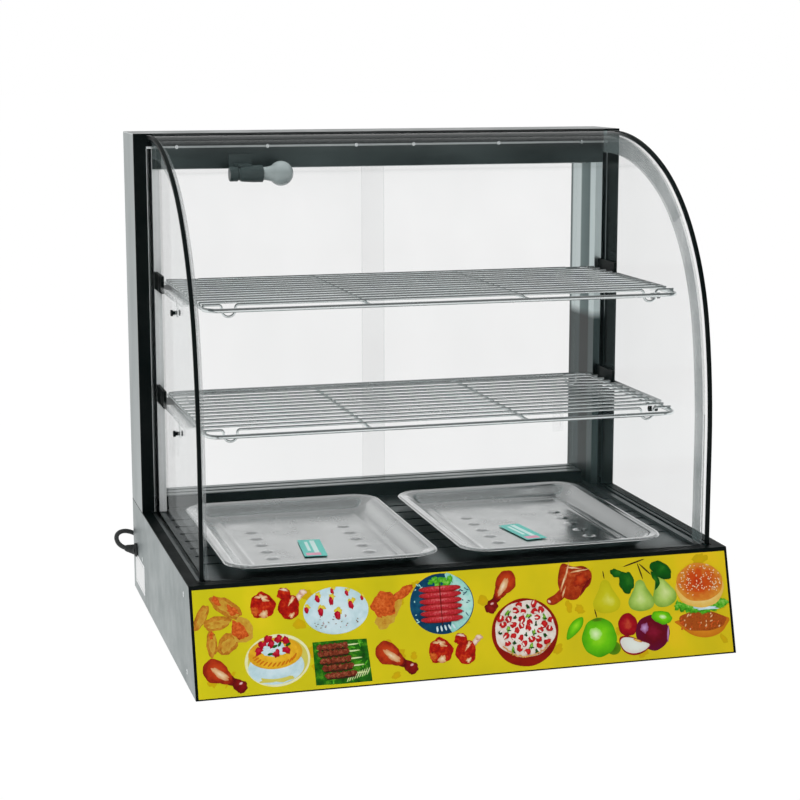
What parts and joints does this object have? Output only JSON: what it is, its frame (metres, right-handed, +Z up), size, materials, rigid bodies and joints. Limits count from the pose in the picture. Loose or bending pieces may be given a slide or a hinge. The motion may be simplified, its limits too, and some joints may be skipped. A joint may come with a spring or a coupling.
{
  "type": "heated food display case",
  "caption": "Heated countertop food display case with a curved glass front, side panes, sliding rear doors, wire shelves, food trays and a printed base panel.",
  "frame": {"origin": "middle of the case's footprint, on the table under its feet", "axes": "+X to the right seen from the curved front, +Y to the back with the sliding doors, +Z up"},
  "size_m": [0.6861, 0.6371, 0.62],
  "materials": {
    "steel": "satin brushed",
    "dark_trim": "satin black",
    "graphic": "gloss printed film",
    "galv": "zinc coated",
    "alu": "satin anodised",
    "glass": "clear",
    "clear_plastic": "clear moulded plastic",
    "seal": "translucent grey",
    "black_rubber": "matte",
    "black_plastic": "satin",
    "red_plastic": "gloss",
    "green_plastic": "gloss",
    "amber_lens": "gloss lens",
    "white_plastic": "matte",
    "chrome": "polished",
    "element": "oxidised metal sheath",
    "copper": "copper",
    "wire": "insulated wire",
    "bulb_glass": "frosted glass"
  },
  "bodies": {
    "case": {"left_side_panel": "steel", "right_side_panel": "steel", "bottom_plate": "galv", "rear_control_panel": "steel", "front_backing_panel": "galv", "front_graphic_panel": "graphic", "front_panel_trim": "dark_trim", "top_rim": "dark_trim", "side_glass_channels": "alu", "front_glass_channel": "alu", "floor_plate": "steel", "heat_tray": "steel", "heating_element": "element", "heater_brackets": "galv", "thermostat_body": "white_plastic", "thermostat_sensor": "copper", "power_switch_housing": "black_plastic", "lamp_switch_housing": "black_plastic", "pilot_lamp": "amber_lens", "terminal_block": "white_plastic", "internal_wiring": "wire", "rubber_feet": "black_rubber", "casing_screws": "chrome", "cord_bushing": "black_rubber", "power_cord": "black_rubber", "cord_coil": "black_rubber", "power_plug": "black_plastic", "left_column": "steel", "right_column": "steel", "column_lips": "dark_trim", "header_shell": "steel", "header_lip": "dark_trim", "header_inner_rail": "dark_trim", "glass_seat_strip": "alu", "top_glass_seal": "black_rubber", "rear_sill": "dark_trim", "lower_door_track": "alu", "upper_door_track": "alu", "left_side_glass": "glass", "right_side_glass": "glass", "front_glass": "glass", "glass_edge_trims": "dark_trim", "corner_seals": "seal", "shelf_rails": "chrome", "rail_brackets": "dark_trim", "rail_studs": "chrome", "lamp_holder": "white_plastic", "lamp_bulb": "bulb_glass"},
    "left_door": {"left_rear_door": "glass", "left_door_pull": "clear_plastic"},
    "right_door": {"right_rear_door": "glass", "right_door_pull": "clear_plastic"},
    "knob": {"thermostat_knob": "black_plastic", "thermostat_shaft": "chrome"},
    "power_rocker": {"power_switch_rocker": "red_plastic"},
    "lamp_rocker": {"lamp_switch_rocker": "green_plastic"},
    "upper_shelf": {"upper_shelf": "chrome"},
    "lower_shelf": {"lower_shelf": "chrome"},
    "left_tray": {"left_tray": "steel"},
    "right_tray": {"right_tray": "steel"}
  },
  "joints": [
    {"name": "left_door_slide", "type": "slide", "parent": "case", "child": "left_door", "axis": [1, 0, 0], "range_m": [0, 0.283]},
    {"name": "right_door_slide", "type": "slide", "parent": "case", "child": "right_door", "axis": [-1, 0, 0], "range_m": [0, 0.283]},
    {"name": "thermostat_turn", "type": "hinge", "parent": "case", "child": "knob", "pos_m": [-0.22, 0.236, 0.066], "axis": [0, 1, 0], "range_deg": [0, 270]},
    {"name": "power_rock", "type": "hinge", "parent": "case", "child": "power_rocker", "pos_m": [-0.14, 0.231, 0.066], "axis": [1, 0, 0], "range_deg": [0, 16]},
    {"name": "lamp_rock", "type": "hinge", "parent": "case", "child": "lamp_rocker", "pos_m": [-0.1, 0.231, 0.066], "axis": [1, 0, 0], "range_deg": [0, 16]},
    {"name": "upper_shelf_lift", "type": "slide", "parent": "case", "child": "upper_shelf", "axis": [0, 0, 1], "range_m": [0, 0.025]},
    {"name": "lower_shelf_lift", "type": "slide", "parent": "case", "child": "lower_shelf", "axis": [0, 0, 1], "range_m": [0, 0.06]},
    {"name": "left_tray_lift", "type": "slide", "parent": "case", "child": "left_tray", "axis": [0, 0, 1], "range_m": [0, 0.06]},
    {"name": "right_tray_lift", "type": "slide", "parent": "case", "child": "right_tray", "axis": [0, 0, 1], "range_m": [0, 0.06]}
  ]
}
